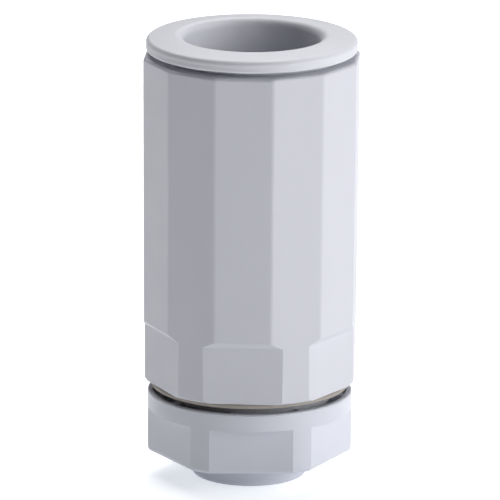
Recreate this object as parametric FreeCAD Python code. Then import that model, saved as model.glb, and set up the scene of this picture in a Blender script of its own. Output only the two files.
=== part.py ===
"""Conduit-end cable gland: twelve-sided body, soft entry seal, screwed cap nut and its inner clamping set.

Millimetres, +Z up along the gland's axis. The origin is the centre of the cap nut's lower end face.
The two wrench-flat faces that count as front and back have their normals on -Y and +Y.
"""

import FreeCAD
import Part
import math
import os

# Heights above the cap nut's lower end face
NUT_HEX_BOTTOM_Z = 3.45
NUT_COLLAR_BOTTOM_Z = 10.2
NUT_TOP_Z = 12.75
GASKET_BOTTOM_Z = 13.5
BODY_BOTTOM_Z = 14.2
BODY_TOP_Z = 63.0
SEAL_FLANGE_BOTTOM_Z = 63.75
SEAL_SHOULDER_Z = 65.45
SEAL_CROWN_Z = 66.1

# Twelve-sided body
BODY_CORNER_R = 16.03
BODY_LOWER_CORNER_R = 15.77
WIDE_FACET_HALF_ANGLE = 15.4
CORNER_ROUNDING = 1.2
TOP_ROUNDING = 0.5
BOTTOM_CHAMFER_R = 15.05
WRENCH_FLAT_WIDTH = 28.6
WRENCH_FLAT_TOP_Z = 23.5
SIDE_COUNT = 6

# Conduit socket, cable passage and gland chamber inside the body
SOCKET_R = 10.15
SOCKET_FLOOR_Z = 34.0
PASSAGE_R = 9.2
CHAMBER_R = 9.4
CHAMBER_TOP_Z = 15.6
CHAMBER_LIP_TOP_Z = 17.0
CHAMBER_LIP_R = 7.2
SOCKET_LEAD = 0.8

# Entry seal
SEAL_FLANGE_R = 15.4
SEAL_FLANGE_ROUNDING = 0.7
SEAL_FLANGE_UNDER_ROUNDING = 0.3
SEAL_NECK_R = 13.6
SEAL_PLUG_R = 12.9
SEAL_PLUG_BOTTOM_Z = 54.5
SEAL_MOUTH_R = 10.0
SEAL_MOUTH_ROUNDING = 1.2
SEAL_MOUTH_BOTTOM_Z = 61.0
SEAL_RELIEF_R = 10.7
SEAL_LIP_R = 9.95
SEAL_LIP_HEIGHTS = (59.0, 56.3)
SEAL_LIP_HALF_HEIGHT = 0.8
SEAL_BARB_R = 13.4
SEAL_BARB_Z = 57.5
SEAL_BARB_HALF_HEIGHT = 0.6

# Spigot and its thread, 24 mm by 1.5 mm, right-handed
PITCH = 1.5
THREAD_CREST_R = 12.0
THREAD_ROOT_R = 11.08
THREAD_CREST_HALF_WIDTH = 0.12
FLANK_SLOPE = math.tan(math.radians(30))
THREAD_FLANK_PLAY = 0.07
THREAD_RADIAL_PLAY = 0.1
SPIGOT_BOTTOM_Z = 7.1
SPIGOT_LEAD = 0.7
SPIGOT_NECK_R = 12.2
THREAD_TOP_Z = 12.2
THREAD_PHASE_Z = 6.0

# Body gasket
GASKET_R = 14.5
GASKET_BORE_R = 12.3
GASKET_ROUNDING = 0.3

# Cap nut
NUT_R = 14.95
NUT_FLAT_WIDTH = 27.3
NUT_TURN = 5.3
NUT_BOTTOM_ROUNDING = 0.7
NUT_RIM_ROUNDING = 0.25
NOSE_R = 8.4
NOSE_ROUNDING = 0.6
NOSE_BORE_R = 6.3
NOSE_BORE_LEAD = 0.8
NUT_FLOOR_Z = 4.9
NUT_POCKET_R = 11.0
NUT_MINOR_R = 11.2
NUT_RECESS_R = 14.2
NUT_RECESS_FLOOR_Z = 11.3
NUT_RIB_COUNT = 8
NUT_RIB_WIDTH = 1.0
NUT_RIB_INNER_R = 12.35
NUT_RIB_TOP_Z = 12.5
NUT_RIB_FIRST_ANGLE = 39.0

# Thrust ring, clamping cage and cable seal
RING_OUTER_R = 10.9
RING_BORE_R = 6.7
RING_LIP_TOP_Z = 5.3
RING_TOP_Z = 6.2
RING_CONE_LOW_R = 8.6
RING_CONE_HIGH_R = 9.6
CAGE_OUTER_R = 9.3
CAGE_INNER_R = 8.3
CAGE_TIP_Z = 5.55
CAGE_TIP_CHAMFER = 0.6
CAGE_RING_BOTTOM_Z = 13.4
CAGE_FINGER_COUNT = 10
CAGE_SLIT_WIDTH = 1.1
CABLE_SEAL_OUTER_R = 8.2
CABLE_SEAL_BORE_R = 6.1
CABLE_SEAL_BOTTOM_Z = 5.6
CABLE_SEAL_GROOVE_DEPTH = 0.5
CABLE_SEAL_GROOVE_HEIGHTS = (8.4, 10.6, 12.8)
CABLE_SEAL_LEAD = 0.7

UP = FreeCAD.Vector(0, 0, 1)
ORIGIN = FreeCAD.Vector(0, 0, 0)


def revolve(outline):
    """Solid of revolution about Z from a closed list of (radius, height) points."""
    points = [FreeCAD.Vector(radius, 0, height) for radius, height in outline]
    face = Part.Face(Part.makePolygon(points + points[:1]))
    return face.revolve(ORIGIN, UP, 360)


def ring(outer_r, inner_r, low_z, high_z):
    """Plain ring about Z."""
    return revolve([(inner_r, low_z), (outer_r, low_z), (outer_r, high_z), (inner_r, high_z)])


def bore(radius, low_z, high_z):
    """Plain cylinder about Z."""
    return Part.makeCylinder(radius, high_z - low_z, FreeCAD.Vector(0, 0, low_z), UP)


def circle_edges(shape, radius, height):
    """Circular edges about Z of the given radius at the given height."""
    found = []
    for edge in shape.Edges:
        curve = edge.Curve
        if not isinstance(curve, Part.Circle):
            continue
        near = abs(curve.Radius - radius) < 1e-4 and abs(curve.Center.z - height) < 1e-4
        if near:
            found.append(edge)
    return found


def level_edges(shape, height):
    """Edges of a shape that lie wholly at the given height."""
    return [
        edge for edge in shape.Edges
        if abs(edge.BoundBox.ZMin - height) < 1e-4 and abs(edge.BoundBox.ZMax - height) < 1e-4
    ]


def turned(shape, angle):
    """Copy of a shape turned about Z by an angle in degrees."""
    copy = shape.copy()
    copy.rotate(ORIGIN, UP, angle)
    return copy


def helical_ridge(outer_r, inner_r, extra, low_z, turns):
    """Right-hand trapezoid ridge along a helix; extra widens each flank by that much."""
    crest = THREAD_CREST_HALF_WIDTH + extra
    root = crest + (outer_r - inner_r) * FLANK_SLOPE
    outline = [(inner_r, -root), (outer_r, -crest), (outer_r, crest), (inner_r, root)]
    points = [FreeCAD.Vector(radius, 0, low_z + height) for radius, height in outline]
    profile = Part.makePolygon(points + points[:1])
    helix = Part.makeHelix(PITCH, PITCH * turns, outer_r)
    helix.translate(FreeCAD.Vector(0, 0, low_z))
    return Part.Wire(helix.Edges).makePipeShell([profile], True, True)


def rounded_outline(corner_r, rounding, height):
    """Closed wire of the twelve-sided outline, with an arc of the given radius at each corner."""
    corners = []
    for side in range(SIDE_COUNT):
        middle = side * 360 / SIDE_COUNT - 90
        for offset in (-WIDE_FACET_HALF_ANGLE, WIDE_FACET_HALF_ANGLE):
            angle = math.radians(middle + offset)
            corners.append(FreeCAD.Vector(corner_r * math.cos(angle), corner_r * math.sin(angle), height))
    arcs = []
    for index, corner in enumerate(corners):
        before = (corners[index - 1] - corner).normalize()
        after = (corners[(index + 1) % len(corners)] - corner).normalize()
        half_angle = before.getAngle(after) / 2
        inward = (before + after).normalize()
        reach = rounding / math.tan(half_angle)
        middle = corner + inward * (rounding / math.sin(half_angle) - rounding)
        arcs.append((corner + before * reach, middle, corner + after * reach))
    edges = []
    for index, (start, middle, end) in enumerate(arcs):
        edges.append(Part.Arc(start, middle, end).toShape())
        edges.append(Part.makeLine(end, arcs[(index + 1) % len(arcs)][0]))
    return Part.Wire(edges)


def body_prism():
    """Slightly drafted twelve-sided prism with rounded long edges and a rounded top edge."""
    lower = rounded_outline(BODY_LOWER_CORNER_R, CORNER_ROUNDING, BODY_BOTTOM_Z)
    upper = rounded_outline(BODY_CORNER_R, CORNER_ROUNDING, BODY_TOP_Z)
    prism = Part.makeLoft([lower, upper], True, True)
    return prism.makeFillet(TOP_ROUNDING, level_edges(prism, BODY_TOP_Z))


def wrench_flat_cutter():
    """Wedge that mills one wrench flat, with a 45 degree run-out at its top."""
    flat = WRENCH_FLAT_WIDTH / 2
    outside = BODY_CORNER_R + 1
    facet = BODY_LOWER_CORNER_R * math.cos(math.radians(WIDE_FACET_HALF_ANGLE))
    run_out_z = WRENCH_FLAT_TOP_Z - (facet - flat)
    low_z = BODY_BOTTOM_Z - 1
    outline = [(flat, low_z), (outside, low_z), (outside, run_out_z + outside - flat), (flat, run_out_z)]
    half_width = BODY_CORNER_R
    points = [FreeCAD.Vector(-half_width, -y, z) for y, z in outline]
    face = Part.Face(Part.makePolygon(points + points[:1]))
    return face.extrude(FreeCAD.Vector(2 * half_width, 0, 0))


def body_blank():
    """Prism with its six wrench flats and the turned chamfer round its lower end."""
    blank = body_prism()
    cutter = wrench_flat_cutter()
    for side in range(SIDE_COUNT):
        blank = blank.cut(turned(cutter, side * 360 / SIDE_COUNT))
    rise = BODY_CORNER_R + 1 - BOTTOM_CHAMFER_R
    envelope = revolve([
        (0, BODY_BOTTOM_Z),
        (BOTTOM_CHAMFER_R, BODY_BOTTOM_Z),
        (BOTTOM_CHAMFER_R + rise, BODY_BOTTOM_Z + rise),
        (BOTTOM_CHAMFER_R + rise, BODY_TOP_Z),
        (0, BODY_TOP_Z),
    ])
    return blank.common(envelope)


def threaded_spigot():
    """Spigot below the body, with a plain neck and a real helical thread."""
    root_lead_r = THREAD_CREST_R - SPIGOT_LEAD
    turns = (THREAD_TOP_Z - THREAD_PHASE_Z) / PITCH
    core = bore(THREAD_ROOT_R, SPIGOT_BOTTOM_Z, BODY_BOTTOM_Z)
    neck = bore(SPIGOT_NECK_R, THREAD_TOP_Z, BODY_BOTTOM_Z)
    ridge = helical_ridge(THREAD_CREST_R, THREAD_ROOT_R - 0.1, 0.0, THREAD_PHASE_Z, turns)
    limit = revolve([
        (0, SPIGOT_BOTTOM_Z),
        (root_lead_r, SPIGOT_BOTTOM_Z),
        (THREAD_CREST_R + 1, SPIGOT_BOTTOM_Z + SPIGOT_LEAD + 1),
        (THREAD_CREST_R + 1, BODY_BOTTOM_Z),
        (0, BODY_BOTTOM_Z),
    ])
    return core.fuse(ridge).common(limit).fuse(neck)


def seal_seat():
    """Counterbore for the entry seal's plug, with the groove for its barb."""
    seat = bore(SEAL_PLUG_R, SEAL_PLUG_BOTTOM_Z, BODY_TOP_Z)
    low_z = SEAL_BARB_Z - SEAL_BARB_HALF_HEIGHT
    high_z = SEAL_BARB_Z + SEAL_BARB_HALF_HEIGHT
    return seat.fuse(bore(SEAL_BARB_R, low_z, high_z))


def gland_body():
    """Body: faceted shell, conduit socket with its stop, cable passage, gland chamber and spigot."""
    inside = revolve([
        (0, SPIGOT_BOTTOM_Z),
        (CHAMBER_R, SPIGOT_BOTTOM_Z),
        (CHAMBER_R, CHAMBER_TOP_Z),
        (CHAMBER_LIP_R, CHAMBER_TOP_Z),
        (CHAMBER_LIP_R, CHAMBER_LIP_TOP_Z),
        (PASSAGE_R, CHAMBER_LIP_TOP_Z + PASSAGE_R - CHAMBER_LIP_R),
        (PASSAGE_R, SOCKET_FLOOR_Z),
        (SOCKET_R, SOCKET_FLOOR_Z),
        (SOCKET_R, SEAL_PLUG_BOTTOM_Z - SOCKET_LEAD),
        (SOCKET_R + SOCKET_LEAD, SEAL_PLUG_BOTTOM_Z),
        (0, SEAL_PLUG_BOTTOM_Z),
    ])
    return body_blank().fuse(threaded_spigot()).cut(inside).cut(seal_seat()).removeSplitter()


def entry_seal():
    """Soft seal: rounded flange, neck, barbed plug and two lips that wipe the conduit."""
    outline = [
        (SEAL_MOUTH_R, SEAL_MOUTH_BOTTOM_Z),
        (SEAL_MOUTH_R, SEAL_CROWN_Z),
        (SEAL_FLANGE_R, SEAL_SHOULDER_Z),
        (SEAL_FLANGE_R, SEAL_FLANGE_BOTTOM_Z),
        (SEAL_NECK_R, SEAL_FLANGE_BOTTOM_Z),
        (SEAL_NECK_R, BODY_TOP_Z),
        (SEAL_PLUG_R, BODY_TOP_Z),
        (SEAL_PLUG_R, SEAL_BARB_Z + SEAL_BARB_HALF_HEIGHT),
        (SEAL_BARB_R, SEAL_BARB_Z + SEAL_BARB_HALF_HEIGHT),
        (SEAL_PLUG_R, SEAL_BARB_Z - SEAL_BARB_HALF_HEIGHT),
        (SEAL_PLUG_R, SEAL_PLUG_BOTTOM_Z),
        (SEAL_RELIEF_R, SEAL_PLUG_BOTTOM_Z),
    ]
    for height in reversed(SEAL_LIP_HEIGHTS):
        outline.append((SEAL_RELIEF_R, height - SEAL_LIP_HALF_HEIGHT))
        outline.append((SEAL_LIP_R, height))
        outline.append((SEAL_RELIEF_R, height + SEAL_LIP_HALF_HEIGHT))
    outline.append((SEAL_RELIEF_R, SEAL_MOUTH_BOTTOM_Z - (SEAL_RELIEF_R - SEAL_MOUTH_R)))
    seal = revolve(outline)
    seal = seal.makeFillet(SEAL_MOUTH_ROUNDING, circle_edges(seal, SEAL_MOUTH_R, SEAL_CROWN_Z))
    seal = seal.makeFillet(SEAL_FLANGE_ROUNDING, circle_edges(seal, SEAL_FLANGE_R, SEAL_SHOULDER_Z))
    under = circle_edges(seal, SEAL_FLANGE_R, SEAL_FLANGE_BOTTOM_Z)
    return seal.makeFillet(SEAL_FLANGE_UNDER_ROUNDING, under)


def body_gasket():
    """Flat sealing ring on the spigot's neck, against the body's lower face."""
    gasket = ring(GASKET_R, GASKET_BORE_R, GASKET_BOTTOM_Z, BODY_BOTTOM_Z)
    return gasket.makeFillet(GASKET_ROUNDING, circle_edges(gasket, GASKET_R, GASKET_BOTTOM_Z))


def nut_blank():
    """Outside of the cap nut: six flats with a rounded lower edge, round collar and nose."""
    hexagon = bore(NUT_R, NUT_HEX_BOTTOM_Z, NUT_COLLAR_BOTTOM_Z)
    width = 2 * NUT_R
    low_corner = FreeCAD.Vector(-NUT_R, -NUT_FLAT_WIDTH / 2 - width, NUT_HEX_BOTTOM_Z - 1)
    cutter = Part.makeBox(width, width, NUT_COLLAR_BOTTOM_Z - NUT_HEX_BOTTOM_Z + 2, low_corner)
    for side in range(SIDE_COUNT):
        hexagon = hexagon.cut(turned(cutter, NUT_TURN + side * 360 / SIDE_COUNT))
    hexagon = hexagon.makeFillet(NUT_BOTTOM_ROUNDING, level_edges(hexagon, NUT_HEX_BOTTOM_Z))
    collar = bore(NUT_R, NUT_COLLAR_BOTTOM_Z, NUT_TOP_Z)
    collar = collar.makeFillet(NUT_RIM_ROUNDING, circle_edges(collar, NUT_R, NUT_TOP_Z))
    nose = bore(NOSE_R, 0, NUT_COLLAR_BOTTOM_Z)
    nose = nose.makeFillet(NOSE_ROUNDING, circle_edges(nose, NOSE_R, 0))
    return hexagon.fuse([collar, nose])


def nut_ribs():
    """Short ribs that tie the collar's rim to the threaded part inside the top recess."""
    length = NUT_RECESS_R + 0.3 - NUT_RIB_INNER_R
    corner = FreeCAD.Vector(NUT_RIB_INNER_R, -NUT_RIB_WIDTH / 2, NUT_RECESS_FLOOR_Z - 0.2)
    rib = Part.makeBox(length, NUT_RIB_WIDTH, NUT_RIB_TOP_Z - NUT_RECESS_FLOOR_Z + 0.2, corner)
    step = 360 / NUT_RIB_COUNT
    return [turned(rib, NUT_RIB_FIRST_ANGLE + index * step) for index in range(NUT_RIB_COUNT)]


def cap_nut():
    """Cap nut: nose with the cable opening, floor, internal thread and ribbed top recess."""
    inside = revolve([
        (0, 0),
        (NOSE_BORE_R + NOSE_BORE_LEAD, 0),
        (NOSE_BORE_R, NOSE_BORE_LEAD),
        (NOSE_BORE_R, NUT_FLOOR_Z),
        (NUT_POCKET_R, NUT_FLOOR_Z),
        (NUT_POCKET_R, RING_TOP_Z),
        (NUT_MINOR_R, RING_TOP_Z),
        (NUT_MINOR_R, NUT_RECESS_FLOOR_Z),
        (NUT_RECESS_R, NUT_RECESS_FLOOR_Z),
        (NUT_RECESS_R, NUT_TOP_Z),
        (0, NUT_TOP_Z),
    ])
    turns = (NUT_RECESS_FLOOR_Z + PITCH - THREAD_PHASE_Z) / PITCH
    groove_r = THREAD_CREST_R + THREAD_RADIAL_PLAY
    groove_inner_r = NUT_MINOR_R - 0.15
    extra = THREAD_FLANK_PLAY - THREAD_RADIAL_PLAY * FLANK_SLOPE
    groove = helical_ridge(groove_r, groove_inner_r, extra, THREAD_PHASE_Z, turns)
    nut = nut_blank().cut(inside).cut(groove)
    return nut.fuse(nut_ribs()).removeSplitter()


def thrust_ring():
    """Slip ring on the cap nut's floor; its cone presses the cage's finger tips inwards."""
    return revolve([
        (RING_BORE_R, NUT_FLOOR_Z),
        (RING_OUTER_R, NUT_FLOOR_Z),
        (RING_OUTER_R, RING_TOP_Z),
        (RING_CONE_HIGH_R, RING_TOP_Z),
        (RING_CONE_LOW_R, RING_LIP_TOP_Z),
        (RING_BORE_R, RING_LIP_TOP_Z),
    ])


def clamping_cage():
    """Ring with a crown of spring fingers that close on the cable seal."""
    cage = revolve([
        (CAGE_INNER_R, CAGE_TIP_Z),
        (CAGE_OUTER_R - CAGE_TIP_CHAMFER, CAGE_TIP_Z),
        (CAGE_OUTER_R, CAGE_TIP_Z + CAGE_TIP_CHAMFER),
        (CAGE_OUTER_R, CHAMBER_TOP_Z),
        (CAGE_INNER_R, CHAMBER_TOP_Z),
    ])
    height = CAGE_RING_BOTTOM_Z - CAGE_TIP_Z + 1
    corner = FreeCAD.Vector(0, -CAGE_SLIT_WIDTH / 2, CAGE_TIP_Z - 1)
    slit = Part.makeBox(CAGE_OUTER_R + 1, CAGE_SLIT_WIDTH, height, corner)
    for index in range(CAGE_FINGER_COUNT):
        cage = cage.cut(turned(slit, index * 360 / CAGE_FINGER_COUNT))
    return cage


def cable_seal():
    """Rubber bush round the cable, with three squeeze grooves in its bore."""
    outline = [
        (CABLE_SEAL_OUTER_R, CABLE_SEAL_BOTTOM_Z),
        (CABLE_SEAL_OUTER_R, CHAMBER_TOP_Z),
        (CABLE_SEAL_BORE_R + CABLE_SEAL_LEAD, CHAMBER_TOP_Z),
        (CABLE_SEAL_BORE_R, CHAMBER_TOP_Z - CABLE_SEAL_LEAD),
    ]
    for height in reversed(CABLE_SEAL_GROOVE_HEIGHTS):
        outline.append((CABLE_SEAL_BORE_R, height + CABLE_SEAL_GROOVE_DEPTH))
        outline.append((CABLE_SEAL_BORE_R + CABLE_SEAL_GROOVE_DEPTH, height))
        outline.append((CABLE_SEAL_BORE_R, height - CABLE_SEAL_GROOVE_DEPTH))
    outline.append((CABLE_SEAL_BORE_R, CABLE_SEAL_BOTTOM_Z + CABLE_SEAL_LEAD))
    outline.append((CABLE_SEAL_BORE_R + CABLE_SEAL_LEAD, CABLE_SEAL_BOTTOM_Z))
    return revolve(outline)


PARTS = {
    "gland_body": gland_body,
    "entry_seal": entry_seal,
    "body_gasket": body_gasket,
    "cap_nut": cap_nut,
    "thrust_ring": thrust_ring,
    "clamping_cage": clamping_cage,
    "cable_seal": cable_seal,
}

os.makedirs("parts", exist_ok=True)
for node, build in PARTS.items():
    shape = build()
    shape.exportStep("parts/" + node + ".step")
    print(node, len(shape.Solids), shape.isValid(), round(shape.Volume, 1), shape.BoundBox)
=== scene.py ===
"""Conduit-end cable gland: finishes, soft pieces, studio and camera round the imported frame."""

import logging
import math
from dataclasses import dataclass
from enum import Enum

import bmesh
import bpy
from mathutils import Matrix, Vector


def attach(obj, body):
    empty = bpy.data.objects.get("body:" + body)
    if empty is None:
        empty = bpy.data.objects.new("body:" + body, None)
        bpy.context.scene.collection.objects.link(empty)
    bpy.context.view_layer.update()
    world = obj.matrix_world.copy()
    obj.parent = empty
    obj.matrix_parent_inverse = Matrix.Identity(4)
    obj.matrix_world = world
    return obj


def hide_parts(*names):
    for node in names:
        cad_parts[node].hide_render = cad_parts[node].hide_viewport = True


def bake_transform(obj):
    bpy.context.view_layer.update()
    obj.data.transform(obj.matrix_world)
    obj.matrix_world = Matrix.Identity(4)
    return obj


logging.basicConfig(level=logging.INFO, format="%(message)s")
LOG = logging.getLogger("cable_gland")
MM = 0.001
NEAR = 0.00002
WELD = 0.00001
NOISE_LOW = 0.3
NOISE_HIGH = 0.7
EDGE_STEPS = 3
SMOOTH_ANGLE = 35.0
Colour = tuple[float, float, float]
Profile = list[tuple[float, float]]


class Piece(Enum):
    """CAD nodes of the gland, by name."""

    BODY = "gland_body"
    ENTRY_SEAL = "entry_seal"
    GASKET = "body_gasket"
    NUT = "cap_nut"
    THRUST_RING = "thrust_ring"
    CAGE = "clamping_cage"
    CABLE_SEAL = "cable_seal"


class Carrier(Enum):
    """Moving bodies of the gland, by name."""

    ROOT = "root"
    THRUST_RING = "thrust_ring"


class Bench:
    """Node bench for one material: adds the usual nodes and wires them."""

    def __init__(self, name: str) -> None:
        """Starts a material with its shader and Object coordinates.

        Args:
            name: material name.
        """
        self.material = bpy.data.materials.new(name)
        self.material.use_nodes = True
        self.tree = self.material.node_tree
        self.shader = self.tree.nodes["Principled BSDF"]
        self.place = self.tree.nodes.new("ShaderNodeTexCoord").outputs["Object"]

    def noise(self, scale: float, detail: float = 3.0, stretch: Colour = (1, 1, 1)) -> bpy.types.NodeSocket:
        """Noise on Object coordinates.

        Args:
            scale: cells per metre.
            detail: octaves.
            stretch: scale factors along X, Y and Z.

        Returns:
            The noise value's socket.
        """
        mapping = self.tree.nodes.new("ShaderNodeMapping")
        mapping.inputs["Scale"].default_value = stretch
        self.tree.links.new(self.place, mapping.inputs["Vector"])
        node = self.tree.nodes.new("ShaderNodeTexNoise")
        node.inputs["Scale"].default_value = scale
        node.inputs["Detail"].default_value = detail
        self.tree.links.new(mapping.outputs["Vector"], node.inputs["Vector"])
        return node.outputs["Fac"]

    def tint(self, value: bpy.types.NodeSocket, low: Colour, high: Colour) -> None:
        """Runs the base colour from one tone to another.

        Args:
            value: what drives the change.
            low: tone at the low end.
            high: tone at the high end.
        """
        ramp = self.tree.nodes.new("ShaderNodeValToRGB")
        first, last = ramp.color_ramp.elements
        first.position, first.color = NOISE_LOW, (*low, 1)
        last.position, last.color = NOISE_HIGH, (*high, 1)
        self.tree.links.new(value, ramp.inputs["Fac"])
        self.tree.links.new(ramp.outputs["Color"], self.shader.inputs["Base Color"])

    def gloss(self, value: bpy.types.NodeSocket, low: float, high: float) -> None:
        """Runs the roughness from one value to another.

        Args:
            value: what drives the change.
            low: roughness at the low end.
            high: roughness at the high end.
        """
        span = self.tree.nodes.new("ShaderNodeMapRange")
        span.inputs["From Min"].default_value = NOISE_LOW
        span.inputs["From Max"].default_value = NOISE_HIGH
        span.inputs["To Min"].default_value = low
        span.inputs["To Max"].default_value = high
        self.tree.links.new(value, span.inputs["Value"])
        self.tree.links.new(span.outputs["Result"], self.shader.inputs["Roughness"])

    def relief(self, heights: list[tuple[bpy.types.NodeSocket, float]]) -> None:
        """Chains bumps into the shader's normal.

        Args:
            heights: each height socket with its depth in metres.
        """
        normal = None
        for height, depth in heights:
            bump = self.tree.nodes.new("ShaderNodeBump")
            bump.inputs["Distance"].default_value = depth
            self.tree.links.new(height, bump.inputs["Height"])
            if normal is not None:
                self.tree.links.new(normal, bump.inputs["Normal"])
            normal = bump.outputs["Normal"]
        self.tree.links.new(normal, self.shader.inputs["Normal"])


@dataclass(frozen=True)
class MouldedPlastic:
    """Injection-moulded plastic: faint flow clouds, uneven satin gloss and a fine spark-eroded skin.

    Args:
        name: material name.
        shade: darker tone of the colour.
        tone: lighter tone of the colour.
        roughness: middle roughness of the skin.
        flow_scale: cells per metre of the flow clouds.
        flow_stretch: the clouds' scale factors along X, Y and Z.
        gloss_scale: cells per metre of the uneven gloss.
        grain_scale: cells per metre of the fine skin.
        grain: depth of the fine skin in metres.
        wave_scale: cells per metre of the slow waviness.
        wave: depth of the slow waviness in metres.
        ior: index of refraction.
    """

    name: str
    shade: Colour
    tone: Colour
    roughness: float
    flow_scale: float = 70.0
    flow_stretch: Colour = (1.0, 1.0, 0.35)
    gloss_scale: float = 240.0
    grain_scale: float = 5200.0
    grain: float = 0.000005
    wave_scale: float = 130.0
    wave: float = 0.00003
    ior: float = 1.52

    def material(self) -> bpy.types.Material:
        """Builds the node material.

        Returns:
            The finished material.
        """
        bench = Bench(self.name)
        flow = bench.noise(self.flow_scale, 4.0, self.flow_stretch)
        bench.tint(flow, self.shade, self.tone)
        bench.gloss(bench.noise(self.gloss_scale), self.roughness - 0.05, self.roughness + 0.06)
        fine = bench.noise(self.grain_scale, 2.0)
        slow = bench.noise(self.wave_scale, 2.0)
        bench.relief([(fine, self.grain), (slow, self.wave)])
        bench.shader.inputs["IOR"].default_value = self.ior
        return bench.material


@dataclass(frozen=True)
class SoftRubber:
    """Moulded rubber or elastomer: matt, slightly mottled by bloom, with a fine pore relief and soft sheen.

    Args:
        name: material name.
        shade: darker tone of the colour.
        tone: lighter tone of the colour.
        roughness: middle roughness.
        sheen: weight of the soft sheen.
        mottle_scale: cells per metre of the mottling.
        gloss_scale: cells per metre of the uneven gloss.
        pore_scale: cells per metre of the pores.
        pores: depth of the pores in metres.
        wave_scale: cells per metre of the slow waviness.
        wave: depth of the slow waviness in metres.
        ior: index of refraction.
    """

    name: str
    shade: Colour
    tone: Colour
    roughness: float
    sheen: float = 0.1
    mottle_scale: float = 180.0
    gloss_scale: float = 420.0
    pore_scale: float = 3800.0
    pores: float = 0.00001
    wave_scale: float = 260.0
    wave: float = 0.00002
    ior: float = 1.48

    def material(self) -> bpy.types.Material:
        """Builds the node material.

        Returns:
            The finished material.
        """
        bench = Bench(self.name)
        bench.tint(bench.noise(self.mottle_scale, 5.0), self.shade, self.tone)
        bench.gloss(bench.noise(self.gloss_scale), self.roughness - 0.07, self.roughness + 0.07)
        fine = bench.noise(self.pore_scale, 3.0)
        slow = bench.noise(self.wave_scale, 2.0)
        bench.relief([(fine, self.pores), (slow, self.wave)])
        bench.shader.inputs["IOR"].default_value = self.ior
        bench.shader.inputs["Sheen Weight"].default_value = self.sheen
        bench.shader.inputs["Sheen Roughness"].default_value = 0.5
        return bench.material


BODY_PLASTIC = MouldedPlastic("body_plastic", (0.545, 0.550, 0.605), (0.563, 0.568, 0.622), 0.40)
NUT_PLASTIC = MouldedPlastic("nut_plastic", (0.558, 0.572, 0.638), (0.576, 0.591, 0.656), 0.36)
RING_ACETAL = MouldedPlastic("ring_acetal", (0.78, 0.78, 0.75), (0.82, 0.82, 0.79), 0.30)
CAGE_NYLON = MouldedPlastic("cage_nylon", (0.40, 0.41, 0.42), (0.45, 0.46, 0.47), 0.48)
ENTRY_ELASTOMER = SoftRubber("entry_elastomer", (0.612, 0.622, 0.668), (0.632, 0.642, 0.686), 0.50)
GASKET_RUBBER = SoftRubber("gasket_rubber", (0.30, 0.27, 0.245), (0.345, 0.315, 0.285), 0.70, 0.15)
SEAL_RUBBER = SoftRubber("seal_rubber", (0.020, 0.020, 0.022), (0.032, 0.032, 0.034), 0.62, 0.2)


def dress_node(piece: Piece, finish: MouldedPlastic) -> None:
    """Gives a CAD node a finish in every material slot.

    Args:
        piece: the node.
        finish: the finish to use.
    """
    material = finish.material()
    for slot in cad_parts[piece.value].material_slots:
        slot.material = material
    LOG.info("dressed %s", piece.value)


def deselect() -> None:
    """Clears the selection."""
    bpy.ops.object.select_all(action="DESELECT")


@dataclass
class Lathe:
    """Draws ring-shaped pieces out of a circle; sizes in millimetres.

    Args:
        segments: number of sides round the axis.
    """

    segments: int = 160

    def turn(self, name: str, profile: Profile) -> bpy.types.Object:
        """Draws a circle along a list of (radius, height) points.

        Args:
            name: object name.
            profile: the points; a closed shape repeats its first point at the end.

        Returns:
            The new object, with its place in its mesh.
        """
        radius, height = profile[0]
        deselect()
        bpy.ops.mesh.primitive_circle_add(vertices=self.segments, radius=radius * MM,
                                          location=(0, 0, height * MM))
        bpy.ops.object.transform_apply(location=True, rotation=False, scale=False)
        made = bpy.context.active_object
        made.name = name
        bpy.ops.object.mode_set(mode="EDIT")
        bpy.ops.mesh.select_all(action="SELECT")
        for next_radius, next_height in profile[1:]:
            rise = (0, 0, (next_height - height) * MM)
            bpy.ops.mesh.extrude_edges_move(TRANSFORM_OT_translate={"value": rise})
            grow = next_radius / radius
            bpy.ops.transform.resize(value=(grow, grow, 1), center_override=(0, 0, 0))
            radius, height = next_radius, next_height
        bpy.ops.mesh.select_all(action="SELECT")
        bpy.ops.mesh.remove_doubles(threshold=WELD)
        bpy.ops.mesh.normals_make_consistent(inside=False)
        bpy.ops.object.mode_set(mode="OBJECT")
        return made

    def round_loop(self, made: bpy.types.Object, radius: float, height: float, rounding: float,
                   steps: int = 6) -> None:
        """Rounds the circular edge at a radius and height.

        Args:
            made: the piece.
            radius: of the edge.
            height: of the edge.
            rounding: size of the rounding.
            steps: segments of the rounding.
        """
        bpy.ops.object.mode_set(mode="EDIT")
        bpy.ops.mesh.select_all(action="DESELECT")
        mesh = bmesh.from_edit_mesh(made.data)
        for edge in mesh.edges:
            if all(abs(vertex.co.xy.length - radius * MM) < NEAR and abs(vertex.co.z - height * MM) < NEAR
                   for vertex in edge.verts):
                edge.select_set(True)
        bmesh.update_edit_mesh(made.data)
        bpy.ops.mesh.bevel(offset=rounding * MM, segments=steps, profile=0.5, affect="EDGES")
        bpy.ops.object.mode_set(mode="OBJECT")


def soften(made: bpy.types.Object, width: float, angle: float = 30.0) -> None:
    """Rounds every remaining sharp edge a little and smooths the shading.

    Args:
        made: the piece.
        width: of the rounding in millimetres.
        angle: edges sharper than this many degrees are rounded.
    """
    deselect()
    made.select_set(True)
    bpy.context.view_layer.objects.active = made
    bpy.ops.object.modifier_add(type="BEVEL")
    bevel = made.modifiers[-1]
    bevel.width = width * MM
    bevel.segments = EDGE_STEPS
    bevel.limit_method = "ANGLE"
    bevel.angle_limit = math.radians(angle)
    bpy.ops.object.modifier_apply(modifier=bevel.name)
    bpy.ops.object.shade_smooth_by_angle(angle=math.radians(SMOOTH_ANGLE))


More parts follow.
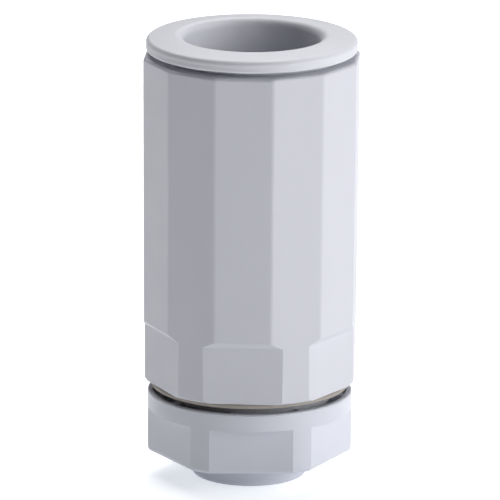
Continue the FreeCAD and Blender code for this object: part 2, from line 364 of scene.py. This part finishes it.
@dataclass
class EntrySeal:
    """Soft seal in the conduit end: crowned flange, neck, barbed plug and wiping lips; millimetres.

    Args:
        mouth_r: radius of the mouth.
        crown_z: height of the crown where it meets the mouth.
        flange_r: radius of the flange.
        shoulder_z: height of the flange's outer top edge.
        groove_depth: depth of the groove round the flange.
        groove_z: height of the groove's middle.
        groove_half_height: half the groove's height.
        flange_bottom_z: height of the flange's underside.
        neck_r: radius of the neck under the flange.
        body_top_z: height where the seal rests on the body.
        plug_r: radius of the plug.
        barb_r: radius of the barb.
        barb_top_z: height of the barb's step.
        barb_bottom_z: height where the barb runs out.
        plug_bottom_z: height of the plug's lower end.
        relief_r: radius of the bore between the lips.
        lip_r: radius inside the lips.
        lip_heights: heights of the lips.
        lip_half_height: half the height of one lip.
        mouth_bottom_z: height where the mouth's straight wall ends.
        mouth_rounding: rounding of the mouth.
        shoulder_rounding: rounding of the flange's top edge.
        under_rounding: rounding of the flange's lower edge.
        edge: rounding of every other edge.
        segments: sides round the axis.
    """

    mouth_r: float = 10.0
    crown_z: float = 66.1
    flange_r: float = 15.4
    shoulder_z: float = 65.45
    groove_depth: float = 0.08
    groove_z: float = 64.5
    groove_half_height: float = 0.32
    flange_bottom_z: float = 63.75
    neck_r: float = 13.6
    body_top_z: float = 63.0
    plug_r: float = 12.9
    barb_r: float = 13.4
    barb_top_z: float = 58.1
    barb_bottom_z: float = 56.9
    plug_bottom_z: float = 54.5
    relief_r: float = 10.7
    lip_r: float = 9.95
    lip_heights: tuple[float, float] = (56.3, 59.0)
    lip_half_height: float = 0.8
    mouth_bottom_z: float = 61.0
    mouth_rounding: float = 1.36
    shoulder_rounding: float = 0.6
    under_rounding: float = 0.3
    edge: float = 0.08
    segments: int = 192

    def profile(self) -> Profile:
        """Closed outline, from the mouth out over the flange and back up the bore.

        Returns:
            The (radius, height) points.
        """
        points = [
            (self.mouth_r, self.crown_z),
            (self.flange_r, self.shoulder_z),
            (self.flange_r, self.groove_z + self.groove_half_height),
            (self.flange_r - self.groove_depth, self.groove_z),
            (self.flange_r, self.groove_z - self.groove_half_height),
            (self.flange_r, self.flange_bottom_z),
            (self.neck_r, self.flange_bottom_z),
            (self.neck_r, self.body_top_z),
            (self.plug_r, self.body_top_z),
            (self.plug_r, self.barb_top_z),
            (self.barb_r, self.barb_top_z),
            (self.plug_r, self.barb_bottom_z),
            (self.plug_r, self.plug_bottom_z),
            (self.relief_r, self.plug_bottom_z),
        ]
        for height in self.lip_heights:
            points.append((self.relief_r, height - self.lip_half_height))
            points.append((self.lip_r, height))
            points.append((self.relief_r, height + self.lip_half_height))
        points.append((self.relief_r, self.mouth_bottom_z - self.relief_r + self.mouth_r))
        points.append((self.mouth_r, self.mouth_bottom_z))
        points.append(points[0])
        return points

    def build(self) -> None:
        """Models, rounds, dresses and places the seal."""
        lathe = Lathe(self.segments)
        seal = lathe.turn("entry_seal_soft", self.profile())
        lathe.round_loop(seal, self.mouth_r, self.crown_z, self.mouth_rounding, steps=10)
        lathe.round_loop(seal, self.flange_r, self.shoulder_z, self.shoulder_rounding, steps=8)
        lathe.round_loop(seal, self.flange_r, self.flange_bottom_z, self.under_rounding)
        soften(seal, self.edge)
        seal.data.materials.append(ENTRY_ELASTOMER.material())
        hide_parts(Piece.ENTRY_SEAL.value)
        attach(seal, Carrier.ROOT.value)
        LOG.info("built %s, %d faces", seal.name, len(seal.data.polygons))


@dataclass
class BodyGasket:
    """Flat rubber ring under the body, its rim bulged a little by the squeeze; millimetres.

    Args:
        bore_r: radius of the hole.
        outer_r: radius of the rim.
        low_z: height of the lower face.
        high_z: height of the upper face.
        rim_rounding: rounding of the rim's edges.
        edge: rounding of the hole's edges.
        segments: sides round the axis.
    """

    bore_r: float = 12.3
    outer_r: float = 14.5
    low_z: float = 13.5
    high_z: float = 14.2
    rim_rounding: float = 0.3
    edge: float = 0.06
    segments: int = 192

    def build(self) -> None:
        """Models, dresses and places the gasket."""
        lathe = Lathe(self.segments)
        gasket = lathe.turn("body_gasket_soft", [
            (self.bore_r, self.low_z),
            (self.outer_r, self.low_z),
            (self.outer_r, self.high_z),
            (self.bore_r, self.high_z),
            (self.bore_r, self.low_z),
        ])
        lathe.round_loop(gasket, self.outer_r, self.low_z, self.rim_rounding)
        lathe.round_loop(gasket, self.outer_r, self.high_z, self.rim_rounding)
        soften(gasket, self.edge)
        gasket.data.materials.append(GASKET_RUBBER.material())
        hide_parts(Piece.GASKET.value)
        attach(gasket, Carrier.ROOT.value)
        LOG.info("built %s, %d faces", gasket.name, len(gasket.data.polygons))


@dataclass
class ClampingSet:
    """Cage of spring fingers round a rubber cable seal, both squeezed by the thrust ring; millimetres.

    Args:
        top_z: height where both rest in the body.
        cage_r: radius of the cage.
        cage_wall: thickness of the cage.
        cage_ring_z: height where the fingers leave the cage's ring.
        cage_tip_z: height of the fingers' tips.
        cage_tip_chamfer: height of the chamfer on the tips.
        cage_edge: rounding of the cage's edges.
        fingers: number of fingers.
        columns: mesh columns for each finger and its slit.
        slit_columns: how many of those columns the slit takes.
        finger_rows: heights of extra rows along the fingers.
        seal_r: radius of the cable seal.
        seal_bore_r: radius of its bore.
        seal_bottom_z: height of its lower face.
        seal_lead: size of the lead-in at both ends of the bore.
        seal_edge: rounding of its edges.
        seal_rows: heights of extra rows along it.
        seal_segments: sides round its axis.
        groove_depth: depth of the bore's grooves, and half their height.
        groove_heights: heights of the grooves.
    """

    top_z: float = 15.6
    cage_r: float = 9.3
    cage_wall: float = 1.0
    cage_ring_z: float = 13.4
    cage_tip_z: float = 5.55
    cage_tip_chamfer: float = 0.6
    cage_edge: float = 0.12
    fingers: int = 10
    columns: int = 16
    slit_columns: int = 3
    finger_rows: tuple[float, float] = (11.0, 8.5)
    seal_r: float = 8.2
    seal_bore_r: float = 6.1
    seal_bottom_z: float = 5.6
    seal_lead: float = 0.7
    seal_edge: float = 0.15
    seal_rows: tuple[float, float] = (9.0, 12.3)
    seal_segments: int = 128
    groove_depth: float = 0.5
    groove_heights: tuple[float, float, float] = (8.4, 10.6, 12.8)

    def squeezed(self, made: bpy.types.Object) -> None:
        """Bakes a piece's placement into its mesh.

        Args:
            made: the piece.
        """
        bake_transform(made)

    def cage(self) -> None:
        """Models the cage: one shell, slits opened between its fingers, then walled and rounded."""
        cage = Lathe(self.fingers * self.columns).turn("clamping_cage_fingers", [
            (self.cage_r, self.top_z),
            (self.cage_r, self.cage_ring_z),
            *((self.cage_r, height) for height in self.finger_rows),
            (self.cage_r, self.cage_tip_z + self.cage_tip_chamfer),
            (self.cage_r - self.cage_tip_chamfer / 2, self.cage_tip_z),
        ])
        bpy.ops.object.mode_set(mode="EDIT")
        bpy.ops.mesh.select_all(action="DESELECT")
        mesh = bmesh.from_edit_mesh(cage.data)
        step = 2 * math.pi / (self.fingers * self.columns)
        for face in mesh.faces:
            middle = face.calc_center_median()
            column = round(math.atan2(middle.y, middle.x) / step - 0.5) % self.columns
            if middle.z < self.cage_ring_z * MM and column < self.slit_columns:
                face.select_set(True)
        bmesh.update_edit_mesh(cage.data)
        bpy.ops.mesh.delete(type="FACE")
        bpy.ops.mesh.select_all(action="SELECT")
        bpy.ops.mesh.normals_make_consistent(inside=False)
        bpy.ops.object.mode_set(mode="OBJECT")
        bpy.ops.object.modifier_add(type="SOLIDIFY")
        wall = cage.modifiers[-1]
        wall.thickness = self.cage_wall * MM
        wall.offset = -1.0
        bpy.ops.object.modifier_apply(modifier=wall.name)
        soften(cage, self.cage_edge, angle=40.0)
        cage.data.materials.append(CAGE_NYLON.material())
        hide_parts(Piece.CAGE.value)
        self.squeezed(cage)
        LOG.info("built %s, %d faces", cage.name, len(cage.data.polygons))

    def cable_seal(self) -> None:
        """Models the grooved rubber bush."""
        points = [
            (self.seal_r, self.seal_bottom_z),
            *((self.seal_r, height) for height in self.seal_rows),
            (self.seal_r, self.top_z),
            (self.seal_bore_r + self.seal_lead, self.top_z),
            (self.seal_bore_r, self.top_z - self.seal_lead),
        ]
        for height in reversed(self.groove_heights):
            points.append((self.seal_bore_r, height + self.groove_depth))
            points.append((self.seal_bore_r + self.groove_depth, height))
            points.append((self.seal_bore_r, height - self.groove_depth))
        points.append((self.seal_bore_r, self.seal_bottom_z + self.seal_lead))
        points.append((self.seal_bore_r + self.seal_lead, self.seal_bottom_z))
        points.append(points[0])
        seal = Lathe(self.seal_segments).turn("cable_seal_soft", points)
        soften(seal, self.seal_edge)
        seal.data.materials.append(SEAL_RUBBER.material())
        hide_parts(Piece.CABLE_SEAL.value)
        self.squeezed(seal)
        LOG.info("built %s, %d faces", seal.name, len(seal.data.polygons))

    def build(self) -> None:
        """Builds the cage and the seal inside it."""
        self.cage()
        self.cable_seal()


@dataclass(frozen=True)
class Lamp:
    """One square soft light, aimed at the middle of the gland.

    Args:
        name: light name.
        azimuth: degrees to the right of the front.
        elevation: degrees above the floor.
        size: side of the square in metres.
        power: in watts.
    """

    name: str
    azimuth: float
    elevation: float
    size: float
    power: float


LAMPS = (
    Lamp("right", 95, 25, 0.9, 6.1),
    Lamp("front_right", 60, 20, 0.8, 7.0),
    Lamp("back_left", -110, 10, 0.3, 0.9),
    Lamp("back", -170, 57, 1.1, 14.6),
    Lamp("upper_left", -60, 60, 0.3, 0.3),
)


@dataclass
class Studio:
    """Pale floor, soft lights and the camera; lengths in metres, angles in degrees.

    Args:
        camera_distance: from the middle of the gland.
        camera_azimuth: to the right of the front.
        camera_elevation: above the floor.
        camera_roll: turn about the line of sight.
        camera_shift: sideways shift of the picture.
        target_height: height of the gland's middle.
        lens: focal length in millimetres.
        lamp_distance: of every lamp from the middle of the gland.
        surround: strength of the world's own light.
        floor_glow: how strongly the floor lights the gland from below.
        floor_glow_seen: how strongly it glows to the camera.
        floor_size: side of the floor.
        floor_paint: its colour.
        floor_tint: colour of its glow.
        floor_roughness: its roughness.
        floor_specular: its specular level.
    """

    camera_distance: float = 1.2
    camera_azimuth: float = 4.1
    camera_elevation: float = 14.87
    camera_roll: float = 0.39
    camera_shift: float = -0.0012
    target_height: float = 0.0336
    lens: float = 591.8
    lamp_distance: float = 1.2
    surround: float = 0.0
    floor_glow: float = 0.28
    floor_glow_seen: float = 0.5
    floor_size: float = 8.0
    floor_paint: tuple[float, float, float, float] = (0.96, 0.96, 0.96, 1)
    floor_tint: tuple[float, float, float, float] = (0.93, 0.965, 1.0, 1)
    floor_roughness: float = 0.9
    floor_specular: float = 0.1

    def floor(self) -> None:
        """Lays the pale floor; it glows a little, and more so to the eye, which keeps its shadows faint."""
        deselect()
        bpy.ops.mesh.primitive_plane_add(size=self.floor_size, location=(0, 0, 0))
        plane = bpy.context.active_object
        plane.name = "floor"
        paint = bpy.data.materials.new("floor_paint")
        paint.use_nodes = True
        shader = paint.node_tree.nodes["Principled BSDF"]
        shader.inputs["Base Color"].default_value = self.floor_paint
        shader.inputs["Roughness"].default_value = self.floor_roughness
        shader.inputs["Specular IOR Level"].default_value = self.floor_specular
        shader.inputs["Emission Color"].default_value = self.floor_tint
        path = paint.node_tree.nodes.new("ShaderNodeLightPath")
        lift = paint.node_tree.nodes.new("ShaderNodeMapRange")
        lift.inputs["To Min"].default_value = self.floor_glow
        lift.inputs["To Max"].default_value = self.floor_glow_seen
        paint.node_tree.links.new(path.outputs["Is Camera Ray"], lift.inputs["Value"])
        paint.node_tree.links.new(lift.outputs["Result"], shader.inputs["Emission Strength"])
        plane.data.materials.append(paint)

    def around(self, azimuth: float, elevation: float, distance: float) -> Vector:
        """Point at a bearing from the middle of the gland.

        Args:
            azimuth: degrees to the right of the front.
            elevation: degrees above the floor.
            distance: from the gland.

        Returns:
            The point.
        """
        turn = math.radians(azimuth)
        rise = math.radians(elevation)
        flat = distance * math.cos(rise)
        height = self.target_height + distance * math.sin(rise)
        return Vector((flat * math.sin(turn), -flat * math.cos(turn), height))

    def light(self, lamp: Lamp) -> None:
        """Hangs one soft light, aimed at the middle of the gland.

        Args:
            lamp: the light.
        """
        data = bpy.data.lights.new(lamp.name, "AREA")
        data.shape = "SQUARE"
        data.size = lamp.size
        data.energy = lamp.power
        holder = bpy.data.objects.new(lamp.name, data)
        bpy.context.collection.objects.link(holder)
        holder.location = self.around(lamp.azimuth, lamp.elevation, self.lamp_distance)
        aim = Vector((0, 0, self.target_height)) - holder.location
        holder.rotation_euler = aim.to_track_quat("-Z", "Y").to_euler()

    def world(self) -> None:
        """Sets an even, faintly cool surround."""
        world = bpy.data.worlds.new("surround")
        world.use_nodes = True
        back = world.node_tree.nodes["Background"]
        back.inputs["Color"].default_value = (0.97, 0.98, 1.0, 1)
        back.inputs["Strength"].default_value = self.surround
        bpy.context.scene.world = world

    def camera(self) -> None:
        """Places the camera and makes it the scene's."""
        data = bpy.data.cameras.new("camera")
        data.lens = self.lens
        data.sensor_width = 36.0
        data.clip_start = 0.05
        data.shift_x = self.camera_shift
        holder = bpy.data.objects.new("camera", data)
        bpy.context.collection.objects.link(holder)
        holder.location = self.around(self.camera_azimuth, self.camera_elevation, self.camera_distance)
        aim = Vector((0, 0, self.target_height)) - holder.location
        turn = aim.to_track_quat("-Z", "Y")
        holder.rotation_euler = turn.to_euler()
        holder.rotation_euler.rotate_axis("Z", math.radians(self.camera_roll))
        bpy.context.scene.camera = holder

    def build(self) -> None:
        """Builds the whole studio."""
        self.floor()
        self.world()
        for lamp in LAMPS:
            self.light(lamp)
        self.camera()
        bpy.context.scene.view_settings.view_transform = "Standard"
        LOG.info("studio ready")


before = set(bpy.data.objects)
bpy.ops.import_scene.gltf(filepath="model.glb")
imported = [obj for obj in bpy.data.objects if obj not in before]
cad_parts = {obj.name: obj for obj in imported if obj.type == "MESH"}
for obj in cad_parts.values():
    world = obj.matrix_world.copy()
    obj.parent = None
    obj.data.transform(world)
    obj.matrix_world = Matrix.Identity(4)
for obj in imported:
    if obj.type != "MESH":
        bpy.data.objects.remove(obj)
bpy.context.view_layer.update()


def main() -> None:
    """Builds the studio, then dresses and models every piece in order."""
    Studio().build()
    dress_node(Piece.BODY, BODY_PLASTIC)
    dress_node(Piece.NUT, NUT_PLASTIC)
    dress_node(Piece.THRUST_RING, RING_ACETAL)
    EntrySeal().build()
    BodyGasket().build()
    ClampingSet().build()


if __name__ == "__main__":
    main()
